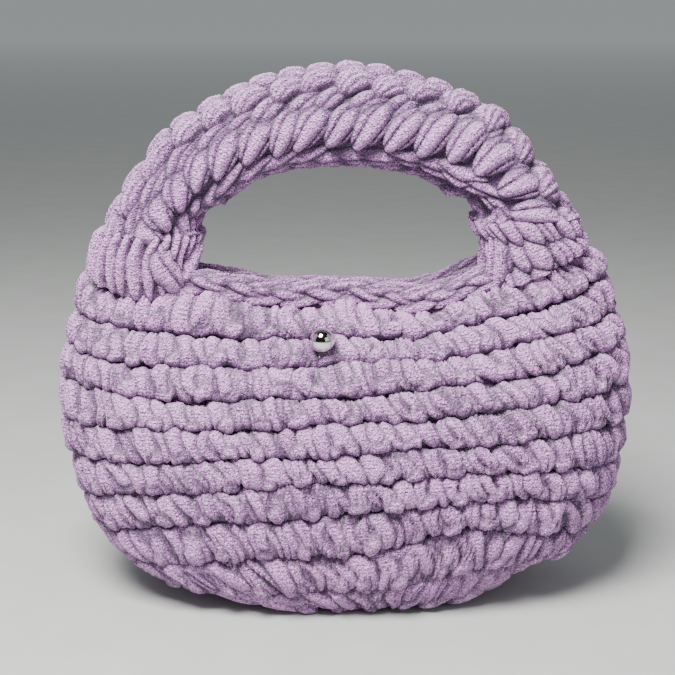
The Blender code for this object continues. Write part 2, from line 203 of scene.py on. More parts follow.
def body_form(level, angle):
    """The body's smooth outer form over the crests of its rows: a superellipse for each level."""
    level = np.clip(level, 0.0, TOP_LEVEL)
    along, across = superellipse(angle, OVAL_POWER)
    x = BODY_WIDTH / 2 * section_share("width", level) * along
    pinch = MOUTH_PINCH * section_share("mouth", level) * between_roots(x)
    y = (BODY_DEPTH / 2 * section_share("depth", level) - pinch) * across
    z = level_height(level, x, across)
    return np.stack([x + FOOT_SHIFT * section_share("shift", level), y, z], axis=-1)


def round_angles(count):
    """Angles round a full turn, in even steps, without the last one, which is the first again."""
    return np.linspace(0, 2 * math.pi, count + 1)[:-1]


def unit(vectors):
    """Vectors divided by their lengths."""
    return vectors / np.maximum(np.linalg.norm(vectors, axis=-1, keepdims=True), 1e-12)


def raised(form, u, v, lift, step_u, step_v, outward=1.0):
    """A form moved outwards along its normal, the cross product of its slopes in u and v, and that normal.
    Outward is -1 where that product points inwards."""
    along = form(u + step_u, v) - form(u - step_u, v)
    across = form(u, v + step_v) - form(u, v - step_v)
    normal = outward * unit(np.cross(along, across))
    return form(u, v) + normal * np.expand_dims(lift, -1), normal


def body_surface(angle, level, lift):
    """Points on the body at an angle round the oval and a level, lifted above the crests of the rows."""
    inner = np.clip(level, 0.02, TOP_LEVEL - 0.02)
    points, normal = raised(lambda a, v: body_form(v, a), angle, inner, lift, 0.01, 0.01)
    slip = body_form(level, angle) - body_form(inner, angle)
    over = np.expand_dims(level - np.clip(level, 0.0, TOP_LEVEL), -1)
    upward = body_form(inner + 0.01, angle) - body_form(inner - 0.01, angle)
    return points + slip + over * upward / 0.02, normal


def handle_centre(share):
    """The handle's centre line at a share of its length from the left seam: half a superellipse that leans to
    the right."""
    turn = np.linspace(math.pi, 0.0, 2001)
    along, across = superellipse(turn, HANDLE_POWER)
    x = HANDLE_PLACE + HANDLE_SPAN / 2 * along + HANDLE_LEAN * across
    z = HANDLE_FOOT + HANDLE_RISE * across
    keep = np.where(x < HANDLE_PLACE, z >= ROOT_SEAM_LEFT, z >= ROOT_SEAM_RIGHT)
    x = x[keep]
    z = z[keep]
    length = np.concatenate([[0.0], np.cumsum(np.hypot(np.diff(x), np.diff(z)))])
    place = np.asarray(share) * length[-1]
    before = np.clip(place, None, 0.0)
    after = np.clip(place - length[-1], 0.0, None)
    centre_x = np.interp(place, length, x)
    centre_z = np.interp(place, length, z) + before - after
    return centre_x, centre_z, length[-1]


HANDLE_LENGTH = float(handle_centre(0.5)[2])


def handle_form(share, turn):
    """The handle's outside: an oval section square with the centre line, level at the seams. Turn 0 faces
    outwards and a quarter turn faces the front."""
    x, z, length = handle_centre(share)
    ahead_x, ahead_z, length = handle_centre(share + 0.004)
    behind_x, behind_z, length = handle_centre(share - 0.004)
    slope_x = ahead_x - behind_x
    slope_z = ahead_z - behind_z
    size = np.hypot(slope_x, slope_z)
    from_seam = np.minimum(share, 1 - share) * length / SEAM_REACH
    out_x = -slope_z / size
    out_z = slope_x / size * np.clip(from_seam, 0.0, 1.0)
    places = [section.place for section in HANDLE_SECTIONS]
    thick = HANDLE_THICKNESS / 2 * np.interp(share, places, [section.thick for section in HANDLE_SECTIONS])
    deep = HANDLE_DEPTH / 2 * np.interp(share, places, [section.deep for section in HANDLE_SECTIONS])
    along, across = superellipse(turn, HANDLE_OVAL_POWER)
    return np.stack([x + out_x * thick * along, -deep * across, z + out_z * thick * along], axis=-1)


def handle_surface(share, turn, lift):
    """Points on the handle at a share of its length and a turn round it, lifted above its outside."""
    return raised(handle_form, share, turn, lift, 0.004, 0.02, outward=-1.0)


def root_place(side):
    """The x of a root's middle, under the handle's end; side is -1 at the left and 1 at the right."""
    return HANDLE_PLACE + side * HANDLE_SPAN / 2


def top_height(x, across):
    """Height of the top of the wall, which carries the rims and the roots."""
    return level_height(np.full(np.shape(x), TOP_LEVEL), x - TOP_SHIFT, across)


def root_form(side, turn, share):
    """A root's outside: its level foot on the wall's saddle blends with the handle's end above it. Turn 0
    faces away from the mouth and a quarter turn faces the front."""
    foot_along, foot_across = superellipse(turn, ROOT_POWER)
    middle = root_place(side)
    foot_x = middle + side * ROOT_WIDTH / 2 * foot_along
    foot_y = -ROOT_DEPTH / 2 * foot_across
    end = handle_form(np.full(np.shape(turn), 0.0 if side < 0 else 1.0), turn)
    late = np.clip((share - 0.5) / 0.5, 0.0, 1.0)
    outward = np.clip(0.5 + side * (foot_x - middle) / ROOT_WIDTH, 0.0, 1.0)
    blend = late**2 * (3 - 2 * late) * (1 - outward) + np.clip(share, 0.0, 1.0) * outward
    x = foot_x + (end[..., 0] - foot_x) * blend
    y = foot_y + (end[..., 1] - foot_y) * blend
    seam = ROOT_SEAM_LEFT if side < 0 else ROOT_SEAM_RIGHT
    z = top_height(x, 0.0) * (1 - share) + seam * share
    return np.stack([x, y, z], axis=-1)


def root_surface(side, turn, share, lift):
    """Points on a root at a turn round it and a share of its height, lifted above its outside."""
    return raised(lambda a, v: root_form(side, a, v), turn, share, lift, 0.02, 0.02, outward=-side)


def base_oval(angle, size):
    """The x and y of the base's oval at an angle and a share of its size."""
    along, across = superellipse(angle, OVAL_POWER)
    half_width = BODY_WIDTH / 2 * SECTIONS[0].width - BASE_EDGE
    half_depth = BODY_DEPTH / 2 * SECTIONS[0].depth - BASE_EDGE
    return half_width * size * along + FOOT_SHIFT * SECTIONS[0].shift, half_depth * size * across


def rim_centre(side, x):
    """The centre of a rim's section at x: midway over the wall's top, whose middle is pinched inwards."""
    half_width = BODY_WIDTH / 2 * SECTIONS[-1].width - WALL * 0.67
    half_depth = BODY_DEPTH / 2 * SECTIONS[-1].depth - WALL * 0.67
    pinched = half_depth - MOUTH_PINCH * between_roots(x - TOP_SHIFT)
    share = np.abs((x - TOP_SHIFT) / half_width)
    y = pinched * np.clip(1 - share**OVAL_POWER, 0.0, 1.0) ** (1 / OVAL_POWER)
    z = top_height(x, float(side)) + RIM_HEIGHT / 2
    return np.stack([x, side * y, z], axis=-1)


SWELL_WAVES = 7


def swells(points, size, seed):
    """Smooth random swells between about -1 and 1: a sum of sine waves in random directions."""
    draw = np.random.default_rng(seed)
    total = np.zeros(points.shape[:-1])
    for count in range(SWELL_WAVES):
        way = unit(draw.normal(size=3))
        pitch = size * draw.uniform(0.7, 1.5)
        total += np.sin(2 * math.pi * (points @ way) / pitch + draw.uniform(0, 2 * math.pi))
    return total / math.sqrt(SWELL_WAVES)


def strand_grids(centres, outward, wide, high, tint, light, seed):
    """A grid of rings for each strand of yarn. A ring is an ellipse across the strand's centre line, wide
    along the surface and high away from it; both shrink to the ends as the root of one minus the fifth
    power of the place. Small random swells away from the centre line make the pile uneven."""
    strands, stations, axes = centres.shape
    ends = np.sqrt(np.clip(1 - np.abs(np.linspace(-1.0, 1.0, stations) * 0.995) ** 5.0, 0.0, 1.0))
    tangent = unit(np.gradient(centres, axis=1))
    side = unit(np.cross(tangent, outward))
    up = np.cross(side, tangent)
    theta = np.arange(ROUND) * 2 * math.pi / ROUND
    across = (np.broadcast_to(wide, (strands, stations)) * ends)[:, :, None] * np.cos(theta)
    away = (np.broadcast_to(high, (strands, stations)) * ends)[:, :, None] * np.sin(theta)
    spoke = across[..., None] * side[:, :, None, :] + away[..., None] * up[:, :, None, :]
    rough = np.random.default_rng(seed).normal(size=across.shape) * (ends[:, None] > 0.3)
    rings = centres[:, :, None, :] + spoke + unit(spoke) * (PILE * rough)[..., None]
    run = np.cumsum(np.linalg.norm(np.diff(centres, axis=1), axis=-1), axis=1)
    length = np.concatenate([np.zeros((strands, 1)), run], axis=1) + tint[:, None]
    uv = np.stack(np.broadcast_arrays(length[:, :, None], np.arange(ROUND) / ROUND), axis=-1)
    # Painted light: each strand is lighter on its outer side and in painted shade on the side towards the
    # surface it lies on
    painted_side_light = np.broadcast_to(light, (strands, stations))[:, :, None] * (0.22 + 0.78 * np.sin(theta))
    return [(rings[i, :, ::-1], uv[i, :, ::-1], tint[i], painted_side_light[i, :, ::-1]) for i in range(strands)]


def new_mesh(name, points, loops, starts, uv, tints, lights, material):
    """A smooth mesh object from whole arrays, with its UV map, tint and light attributes and material."""
    mesh = bpy.data.meshes.new(name)
    mesh.vertices.add(len(points))
    mesh.vertices.foreach_set("co", np.asarray(points, dtype=np.float32).ravel())
    mesh.loops.add(len(loops))
    mesh.loops.foreach_set("vertex_index", np.asarray(loops, dtype=np.int32))
    mesh.polygons.add(len(starts))
    mesh.polygons.foreach_set("loop_start", np.asarray(starts, dtype=np.int32))
    mesh.update(calc_edges=True)
    layer = mesh.uv_layers.new(name="yarn")
    layer.data.foreach_set("uv", np.asarray(uv, dtype=np.float32).ravel())
    for label, values in (("tint", tints), ("light", lights)):
        attribute = mesh.attributes.new(name=label, type="FLOAT", domain="POINT")
        attribute.data.foreach_set("value", np.asarray(values, dtype=np.float32))
    mesh.shade_smooth()
    mesh.validate()
    mesh.materials.append(material)
    made = bpy.data.objects.new(name, mesh)
    bpy.context.scene.collection.objects.link(made)
    return made


def grid_mesh(name, grids, material, closed_ends):
    """A closed mesh of grids of rings, each given by its points, UV map, tints and lights. In a grid both
    end rings are filled, or else the last ring joins the first."""
    points = []
    uvs = []
    tints = []
    lights = []
    loops = []
    sizes = []
    count = 0
    for places, uv, tint, light in grids:
        rows, round_count, axes = places.shape
        last = rows - 1 if closed_ends else rows
        low = count + (np.arange(last) * round_count)[:, None]
        high = count + ((np.arange(last) + 1) % rows * round_count)[:, None]
        here = np.arange(round_count)
        following = (here + 1) % round_count
        quads = np.stack([low + here, low + following, high + following, high + here], axis=-1)
        loops.append(quads.ravel())
        sizes.append(np.full(quads.shape[0] * quads.shape[1], 4))
        if closed_ends:
            loops.append(np.concatenate([count + here[::-1], count + (rows - 1) * round_count + here]))
            sizes.append(np.full(2, round_count))
        points.append(places.reshape(-1, 3))
        uvs.append(np.broadcast_to(uv, (rows, round_count, 2)).reshape(-1, 2))
        tints.append(np.broadcast_to(tint, (rows, round_count)).ravel())
        lights.append(np.broadcast_to(light, (rows, round_count)).ravel())
        count += rows * round_count
    loops = np.concatenate(loops)
    starts = np.concatenate([[0], np.cumsum(np.concatenate(sizes))[:-1]])
    return new_mesh(name, np.concatenate(points), loops, starts, np.concatenate(uvs)[loops],
                    np.concatenate(tints), np.concatenate(lights), material)


def shell(name, rings, material, closed_ends, light):
    """A plain closed mesh through one grid of rings, mapped by its x and y, with one painted light value all
    over.
    """
    return grid_mesh(name, [(rings, rings[..., :2], 0.5, light)], material, closed_ends)


class Finish:
    """A material in the making: its nodes, its links, its shader and the piece's own coordinates."""

    def __init__(self, name):
        self.material = bpy.data.materials.new(name)
        self.material.use_nodes = True
        self.nodes = self.material.node_tree.nodes
        self.shader = self.nodes["Principled BSDF"]
        self.place = self.nodes.new("ShaderNodeTexCoord").outputs["Object"]

    def fill(self, node, inputs):
        """Fills inputs of a node, by name or number, with sockets, colours, vectors or numbers."""
        for key, value in inputs.items():
            socket = node.inputs[key]
            if isinstance(value, bpy.types.NodeSocket):
                self.material.node_tree.links.new(value, socket)
            else:
                socket.default_value = (*value, 1.0) if socket.type == "RGBA" else value

    def node(self, kind, inputs, **settings):
        """Adds a node with its settings and its inputs."""
        node = self.nodes.new("ShaderNode" + kind)
        for name, value in settings.items():
            setattr(node, name, value)
        self.fill(node, inputs)
        return node

    def noise(self, scale, detail, roughness):
        """A noise texture."""
        inputs = {"Vector": self.place, "Scale": scale, "Detail": detail, "Roughness": roughness}
        return self.node("TexNoise", inputs).outputs["Fac"]

    def mix(self, share, first, second):
        """A mix of two colours by a share."""
        return self.node("Mix", {0: share, 6: first, 7: second}, data_type="RGBA").outputs[2]

    def ranged(self, value, low, high, to_low=0.0, to_high=1.0):
        """A value taken from one range to another and held inside it."""
        inputs = {"Value": value, "From Min": low, "From Max": high, "To Min": to_low, "To Max": to_high}
        return self.node("MapRange", inputs).outputs["Result"]

    def times(self, first, second):
        """The product of two values."""
        return self.node("Math", {0: first, 1: second}, operation="MULTIPLY").outputs[0]

    def weighted(self, value, weight, rest):
        """A value times a weight, added to the rest."""
        return self.node("Math", {0: value, 1: weight, 2: rest}, operation="MULTIPLY_ADD").outputs[0]


# Colours of the chenille in linear light: pile tips, the yarn itself, its dark pile between tufts, which is
# partly painted shade, and the painted shade colour for creases, grooves and hollows
TIP = (0.94, 0.64, 1.0)
LILAC = (0.84, 0.365, 0.91)
WARM_LILAC = (0.89, 0.40, 0.91)
SHADE = (0.26, 0.09, 0.28)
PAINTED_SHADE = (0.115, 0.045, 0.15)
SHEEN = (0.93, 0.86, 0.96)

# Depth of the chenille's bump
PILE_DEPTH = 0.00130

# Colours of the stud's plate, dull and bright
NICKEL = (0.80, 0.78, 0.74)
BRIGHT_NICKEL = (0.90, 0.88, 0.85)


def chenille():
    """Velvety chenille: tufts of pile about a millimetre across with dark gaps between them that are partly
    painted shade, fine ribs across the strand, painted shade in the creases and a pale sheen."""
    finish = Finish("lilac_chenille")
    strand = finish.node("UVMap", {}, uv_map="yarn").outputs["UV"]
    tint = finish.node("Attribute", {}, attribute_name="tint").outputs["Fac"]
    light = finish.node("Attribute", {}, attribute_name="light").outputs["Fac"]
    wander = finish.node("TexNoise", {"Vector": finish.place, "Scale": 700.0, "Detail": 2.0}).outputs["Color"]
    bent = finish.node("VectorMath", {0: wander, 1: (0.0022, 0.0022, 0.0022), 2: finish.place},
                       operation="MULTIPLY_ADD").outputs[0]
    cells = finish.node("TexVoronoi", {"Vector": bent, "Scale": 860.0}).outputs["Distance"]
    tufts = finish.ranged(cells, 0.70, 0.10)
    fine = finish.noise(1700.0, 1.0, 0.5)
    curls = finish.noise(420.0, 3.0, 0.65)
    cloud = finish.noise(45.0, 2.0, 0.5)
    across = {"Vector": strand, "Scale": 250.0, "Distortion": 2.5, "Detail": 2.0, "Detail Scale": 3.0}
    ribs = finish.node("TexWave", across, wave_type="BANDS", bands_direction="X").outputs["Fac"]
    body = finish.mix(finish.ranged(cloud, 0.35, 0.65), LILAC, WARM_LILAC)
    body = finish.mix(finish.ranged(tint, 0.0, 1.0, 0.0, 0.20), body, TIP)
    # Painted shade in the gaps between tufts, deeper where the painted light attribute is low
    painted_lit_share = finish.ranged(light, 0.62, 0.98)
    tuft_gap_shade = finish.times(finish.ranged(tufts, 0.60, 0.05), finish.ranged(painted_lit_share, 0.0, 1.0, 1.0, 0.55))
    body = finish.mix(tuft_gap_shade, body, SHADE)
    body = finish.mix(finish.ranged(curls, 0.44, 0.30, 0.0, 0.70), body, SHADE)
    body = finish.mix(finish.ranged(fine, 0.46, 0.34, 0.0, 0.55), body, SHADE)
    body = finish.mix(finish.ranged(fine, 0.53, 0.66), body, TIP)
    # Painted shade: the yarn turns to the painted shade colour where the painted light attribute is low
    colour = finish.mix(finish.ranged(light, 0.20, 0.78), PAINTED_SHADE, body)
    height = finish.weighted(ribs, 0.30, finish.weighted(fine, 0.80, finish.weighted(curls, 1.1, tufts)))
    raised_pile = {"Height": height, "Strength": 1.0, "Distance": PILE_DEPTH}
    relief = finish.node("Bump", raised_pile).outputs["Normal"]
    finish.fill(finish.shader, {
        "Base Color": colour, "Roughness": 0.95, "Specular IOR Level": 0.12, "Sheen Weight": 0.30,
        "Sheen Roughness": 0.45, "Sheen Tint": SHEEN, "Normal": relief})
    return finish.material


def polished_metal():
    """Bright nickel plate with faint fine handling marks in its roughness."""
    finish = Finish("polished_nickel")
    marks = finish.noise(900.0, 3.0, 0.6)
    colour = finish.mix(finish.ranged(marks, 0.3, 0.7), NICKEL, BRIGHT_NICKEL)
    finish.fill(finish.shader, {"Metallic": 1.0, "Base Color": colour,
                                "Roughness": finish.ranged(marks, 0.3, 0.7, 0.05, 0.12)})
    return finish.material


YARN = chenille()
METAL = polished_metal()


def stations():
    """Places of a strand's stations from 0 to 1, close together near its ends."""
    even = np.linspace(0.0, 1.0, STATIONS)
    return even - 0.40 * np.sin(2 * math.pi * even) / (2 * math.pi)


def stud_axes():
    """The stud's seat on the front wall, sunk below the row's crest, and three axes, the last outwards."""
    half_width = BODY_WIDTH / 2 * section_share("width", np.array(STUD_LEVEL))
    along = STUD_PLACE / half_width
    angle = -math.acos(math.copysign(abs(along) ** (OVAL_POWER / 2), along))
    seat, normal = body_surface(np.array(angle), np.array(STUD_LEVEL), np.array(-STUD_SINK))
    across = unit(np.cross(np.array([0.0, 0.0, 1.0]), normal))
    upward = np.cross(normal, across)
    return seat, across, upward, normal


STUD_SEAT = stud_axes()[0]

# Rows of the body, each a thick rope of wraps of yarn: mean width of a wrap, depth from the rope's crest to
# its middle, how far it reaches into its neighbours, the roundness of its section, and its mesh's fineness
WRAP = 0.0068
ROW_DEPTH = 0.0074
ROW_OVERLAP = 1.22
ROW_POWER = 2.05
ROW_STEP = 0.00062
ROW_BACK_TURN = 118
ROW_FRONT_TURNS = np.linspace(-ROW_BACK_TURN, ROW_BACK_TURN, 24)
ROW_TURNS = np.radians(np.concatenate([ROW_FRONT_TURNS, np.linspace(140, 220, 4)]))

# Wraps of a row: widths as shares of the mean; lean to the left in degrees, what it gains to the right, and
# its spread; height of the crown as a share of the width, and what it gains to the right; spreads in height
# of the wrap, of its top and of its foot; shares of wraps of one, two and three strands, and their crowns
WRAP_WIDTHS = (0.45, 1.55)
WRAP_LEAN = 21.0
WRAP_LEAN_GAIN = 10.0
WRAP_LEAN_SPREAD = 6.0
WRAP_BULGE = (0.34, 0.54)
WRAP_BULGE_GAIN = 0.08
WRAP_SPREAD = 0.0004
WRAP_TOP = (0.0002, 0.0007)
WRAP_FOOT_SPREAD = 0.0005
STRAND_SHARES = (0.45, 0.33, 0.22)
STRAND_CROWN = 0.0010

# How the wraps wander and bend, where their tops and feet start, and the pile and the long swells on them
WRAP_WANDER = 0.0007
WRAP_WANDER_SIZE = 0.010
WRAP_BEND = 60.0
WRAP_END = 0.006
ROW_PILE = 0.00011
ROW_SWELL = 0.0002
ROW_SWELL_LENGTH = 0.043

# The top row's ends, flattened under the roots: where they start, over what length, how far they flatten,
# and how the right one slumps inwards and down; and the room for yarn past the first and the last row
SHOULDER_PLACE = 0.084
SHOULDER_REACH = 0.02
SHOULDER_FLAT = 0.45
SHOULDER_SLUMP = (0.0042, 0.0020)
EDGE_ROOM = 0.004

# Fine lines between strands, creases between wraps and grooves between rows: how far each reaches, its depth,
# and how far its painted shade darkens it (for the fine lines a strength of both depth and painted shade);
# then the painted shade under a row, and how the grooves wander
LINE_REACH = 0.00045
LINE_DEPTH_AND_SHADE = 0.7
CREASE_REACH = 0.00085
CREASE_DEPTH = 0.0011
CREASE_SHADE = 0.78
GROOVE_REACH = 0.0005
GROOVE_DEPTH = 0.0008
GROOVE_SHADE = 0.56
UNDER_SHADE = 0.30
GROOVE_WANDER = 0.00042
GROOVE_WAVES = (23, 37, 43, 61)

# Knots at the lower edge of a row: pitch, half length, half width, height below the crest, rise to the right
# in degrees, lift, crown, and the depth of its crease
KNOT_PITCH = 0.0155
KNOT_LONG = 0.0046
KNOT_WIDE = 0.0030
KNOT_LOW = (-0.0056, -0.0032)
KNOT_RISE = (20, 65)
KNOT_LIFT = (0.0008, 0.0017)
KNOT_CROWN = 0.0019
KNOT_CREASE = 0.0003


def round_table(level):
    """Distances round the oval at a level, for a list of angles."""
    angle = np.linspace(-math.pi, math.pi, 721)
    points = body_form(np.full(angle.shape, level), angle)
    run = np.linalg.norm(np.diff(points, axis=0), axis=-1)
    return angle, np.concatenate([[0.0], np.cumsum(run)])


GROOVE_TABLE = round_table(5.5)


def groove_wave(place, edge):
    """How far the groove at an edge between two rows wanders up, at angles round the oval: a sum of sine
    waves of the distance round, with phases of its own for each edge."""
    angle, run = GROOVE_TABLE
    share = np.interp(place, angle, run) / run[-1] * 2 * math.pi
    draw = np.random.default_rng(700 + edge)
    waves = sum(np.sin(count * share + draw.uniform(0, 2 * math.pi)) for count in GROOVE_WAVES)
    return GROOVE_WANDER * waves


def crown(share):
    """Height of a round crown at a share of its half width: root of one minus the square, less one."""
    return np.sqrt(np.clip(1 - share**2, 0.0, 1.0)) - 1


def row_wraps(s, y, girth, draw):
    """Relief of the wraps of a row at distances s round it and y up from its crest, as a stack with a layer
    for each near wrap. A wrap leans to the left as it rises and is crowned across; some are split by
    fine creases into two or three strands, and each reaches further or less far up and down."""
    count = int(round(girth / WRAP))
    width = draw.uniform(*WRAP_WIDTHS, count)
    width *= girth / width.sum()
    edges = np.concatenate([[0.0], np.cumsum(width)])
    s = s + WRAP_WANDER * swells(np.stack([s, y, 0 * s], axis=-1), WRAP_WANDER_SIZE, int(draw.integers(1000)))
    middle = (edges[1:] + edges[:-1]) / 2
    to_right = -np.cos(2 * math.pi * middle / girth)
    lean = WRAP_LEAN + WRAP_LEAN_GAIN * to_right
    lean = np.tan(np.radians(lean + draw.normal(0, WRAP_LEAN_SPREAD, count)))
    bend = draw.normal(0.0, WRAP_BEND, count)
    lift = draw.normal(0.0, WRAP_SPREAD, count)
    top = draw.normal(*WRAP_TOP, count)
    foot = draw.normal(0.0, WRAP_FOOT_SPREAD, count)
    strands = draw.choice([1.0, 2.0, 3.0], count, p=STRAND_SHARES)
    bulge = draw.uniform(*WRAP_BULGE, count) + WRAP_BULGE_GAIN * to_right
    tint = draw.uniform(0.0, 1.0, count)
    slope = np.interp(s, middle, lean)
    nearest = np.searchsorted(edges, np.mod(s + slope * y, girth), side="right") - 1
    heights = []
    tints = []
    lines = []
    for step in (-2, -1, 0, 1, 2):
        i = np.mod(nearest + step, count)
        centre = middle[i] - lean[i] * y + bend[i] * (y**2 - 0.00002)
        away = np.mod(s - centre + girth / 2, girth) - girth / 2
        share = away / (width[i] / 2)
        part = (share + 1) / 2 * strands[i]
        off = np.abs(part - np.floor(part) - 0.5)
        fine = np.where(strands[i] > 1.5, crown(1.9 * off), 0.0)
        line = np.exp(-(0.5 - off) * width[i] / strands[i] / LINE_REACH)
        height = lift[i] + bulge[i] * width[i] * crown(share / 1.13) + STRAND_CROWN * fine
        upper = np.clip(y / WRAP_END, 0, 1) ** 2
        lower = np.clip(-y / WRAP_END, 0, 1) ** 2
        height = height + top[i] * upper + foot[i] * lower
        heights.append(height)
        tints.append(tint[i])
        lines.append(np.where(strands[i] > 1.5, LINE_DEPTH_AND_SHADE * line, 0.0))
    return heights, tints, lines


def row_knots(s, y, girth, draw):
    """Relief of the small slanting knots that hold the wraps at the row's lower edge: each is an egg that
    rises to the right, narrower at its top, crossed by one fine crease."""
    count = int(round(girth / KNOT_PITCH))
    middle = (np.arange(count) + draw.uniform(-0.2, 0.2, count)) * girth / count
    low = draw.uniform(*KNOT_LOW, count)
    way = np.radians(draw.uniform(*KNOT_RISE, count))
    size = draw.uniform(0.8, 1.2, count)
    lift = draw.uniform(*KNOT_LIFT, count)
    tint = draw.uniform(0.0, 1.0, count)
    i = np.mod(np.round(s / girth * count).astype(int), count)
    away = np.mod(s - middle[i] + girth / 2, girth) - girth / 2
    rise = y - low[i]
    along = (away * np.cos(way[i]) + rise * np.sin(way[i])) / (KNOT_LONG * size[i])
    beside = (-away * np.sin(way[i]) + rise * np.cos(way[i])) / (KNOT_WIDE * size[i] * (1.15 - 0.35 * along))
    egg = crown(np.sqrt(along**2 + beside**2))
    crease = -KNOT_CREASE * np.exp(-(beside / 0.16) ** 2)
    return np.where(egg > -1, lift[i] + KNOT_CROWN * egg + crease, -0.01), tint[i]


def pile(shape, size, draw):
    """Uneven pile for a grid of points: random heights of a given size, smoothed over two neighbours."""
    rough = draw.normal(size=shape)
    near = rough + 0.6 * (np.roll(rough, 1, axis=0) + np.roll(rough, 1, axis=1))
    broad = draw.normal(size=shape)
    for axis in (0, 1):
        broad = (np.roll(broad, 1, axis=axis) + broad + np.roll(broad, -1, axis=axis)) / 1.7
    return size * (0.6 * near + 0.7 * broad)


def row_rope(row, draw):
    """The grid of one row: a ring of a superellipse section between two grooves, with the relief of wraps
    and knots added outwards. Returns its points, its UV map, its tints and its lights."""
    angle, run = round_table(row + 0.5)
    girth = run[-1]
    around = int(girth / ROW_STEP)
    s = np.broadcast_to((np.arange(around) * girth / around)[:, None], (around, len(ROW_TURNS)))
    place = np.interp(s, run, angle)
    middle, normal = body_surface(place, np.full(s.shape, row + 0.5), np.zeros(s.shape))
    low = body_form(np.full(s.shape, row + 0.0), place)
    high = body_form(np.full(s.shape, row + 1.0), place)
    half = (high - low) / 2
    off = middle - (high + low) / 2
    middle = (high + low) / 2 + normal * np.sum(off * normal, axis=-1, keepdims=True)
    tall = np.linalg.norm(half, axis=-1)
    turn = np.broadcast_to(ROW_TURNS, s.shape)
    outer, upper = superellipse(turn, ROW_POWER)
    first = row == 0
    last = row == int(TOP_LEVEL) - 1
    end = float(last) * np.clip((np.abs(middle[..., 0]) - SHOULDER_PLACE) / SHOULDER_REACH, 0.0, 1.0)
    upper = upper * (1 - SHOULDER_FLAT * end * np.clip(upper, 0.0, 1.0))
    y = turn * (tall + ROW_DEPTH) / 2
    heights, tints, lines = row_wraps(s, y, girth, draw)
    knot, knot_tint = row_knots(s, y, girth, draw)
    heights = np.stack(heights + [knot])
    tints = np.stack(tints + [knot_tint])
    lines = np.stack(lines + [np.zeros(s.shape)])
    order = np.argsort(heights, axis=0)
    highest = order[-1:]
    best = np.take_along_axis(heights, highest, axis=0)[0]
    second = np.take_along_axis(heights, order[-2:-1], axis=0)[0]
    tint = np.take_along_axis(tints, highest, axis=0)[0]
    line = np.take_along_axis(lines, highest, axis=0)[0]
    crease = np.maximum(np.exp(-(best - second) / CREASE_REACH), line)
    visible = np.clip((math.radians(ROW_BACK_TURN) - np.abs(turn)) / 0.5, 0.0, 1.0)
    relief = (best + 0.0010 - CREASE_DEPTH * crease + pile(s.shape, ROW_PILE, draw)) * visible
    relief = relief + ROW_SWELL * np.sin(2 * math.pi * s / ROW_SWELL_LENGTH + row)
    out = ROW_DEPTH * (outer - 1) + relief * np.cos(turn)
    rise = tall * ROW_OVERLAP * upper + relief * np.sin(turn)
    ceiling = tall + groove_wave(place, row + 1) + EDGE_ROOM * last
    floor = -tall + groove_wave(place, row) - EDGE_ROOM * first
    groove = np.exp(-np.clip(np.minimum(ceiling - rise, rise - floor), 0.0, None) / GROOVE_REACH)
    rise = np.clip(rise, floor, ceiling)
    out = out - GROOVE_DEPTH * groove
    points = middle + normal * out[..., None] + unit(half) * rise[..., None]
    # Painted shade: the light attribute falls in the creases, in the grooves between rows and on the lower
    # half of each row, as if lit from above
    under = np.clip((0.05 - turn) / 1.15, 0.0, 1.0)
    light = (1 - CREASE_SHADE * crease) * (1 - GROOVE_SHADE * groove) * (1 - UNDER_SHADE * under)
    shoulder = end * (middle[..., 0] > 0) * np.clip(0.4 + np.sin(turn), 0.0, 1.4)
    points[..., 0] -= SHOULDER_SLUMP[0] * shoulder
    points[..., 2] -= SHOULDER_SLUMP[1] * shoulder
    # The row sinks a little round the stud's seat, and painted shade darkens it there
    dimple = np.exp(-np.sum((points - STUD_SEAT) ** 2, axis=-1) / STUD_DIMPLE**2)
    points = points - normal * (STUD_DIMPLE_DEPTH * dimple)[..., None]
    light = light * (1 - STUD_DIMPLE_SHADE * dimple)
    return points, np.stack([y + tint, s], axis=-1), tint, light


# The shell behind the rows: its outer face's lift, the inner rows' bulge and wraps, and its points round
SHELL_LIFT = -0.0058
INNER_BULGE = 0.0016
INNER_WRAP = 0.0008
INNER_WRAPS = 46
SHELL_ROUND = 200


def make_body():
    """The ten rows in five meshes of two rows, round a hollow shell that closes the wall behind them."""
    made = []
    for pair in range(int(TOP_LEVEL) // 2):
        draw = np.random.default_rng(100 + pair)
        grids = [row_rope(2 * pair, draw), row_rope(2 * pair + 1, draw)]
        for grid in grids:
            grid[0][..., 2] = np.maximum(grid[0][..., 2], FLOOR_GAP)
        made.append(grid_mesh(f"body_rows_{2 * pair + 1}_{2 * pair + 2}", grids, YARN, False))
    angle = round_angles(SHELL_ROUND)
    one = np.ones(SHELL_ROUND)
    rings = []
    for level in np.linspace(0.0, TOP_LEVEL, 31):
        rings.append(body_surface(angle, level * one, SHELL_LIFT * one)[0])
    for level in np.linspace(TOP_LEVEL, 0.3, 70):
        bulge = INNER_BULGE * abs(math.sin(math.pi * level)) - INNER_BULGE
        wraps = INNER_WRAP * np.cos(INNER_WRAPS * angle + 3 * level)
        rings.append(body_surface(angle, level * one, -WALL - bulge - wraps)[0])
    for height in (BASE_THICKNESS, 0.0008):
        rings.append(np.stack([*base_oval(angle, 1.0), height * one], axis=-1))
    rings = np.array(rings)
    rings[:, :, 2] = np.maximum(rings[:, :, 2], 0.0006)
    # The wall's inside is painted in shade through its low light value
    core = shell("body_wall_inside", rings, YARN, False, 0.45)
    for piece in made + [core]:
        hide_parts("body_wall")
    return made + [core]


# A lump of yarn on a surface: its place along and across in metres, its lean from along towards across in
# degrees, then half length, half width, bow, height of its crown and lift above the surface in millimetres,
# how much its left end is raised, and the edges of its strands from -1 to 1 across it.
Lump = namedtuple("Lump", "along across lean long wide bow crown lift tilt edges")

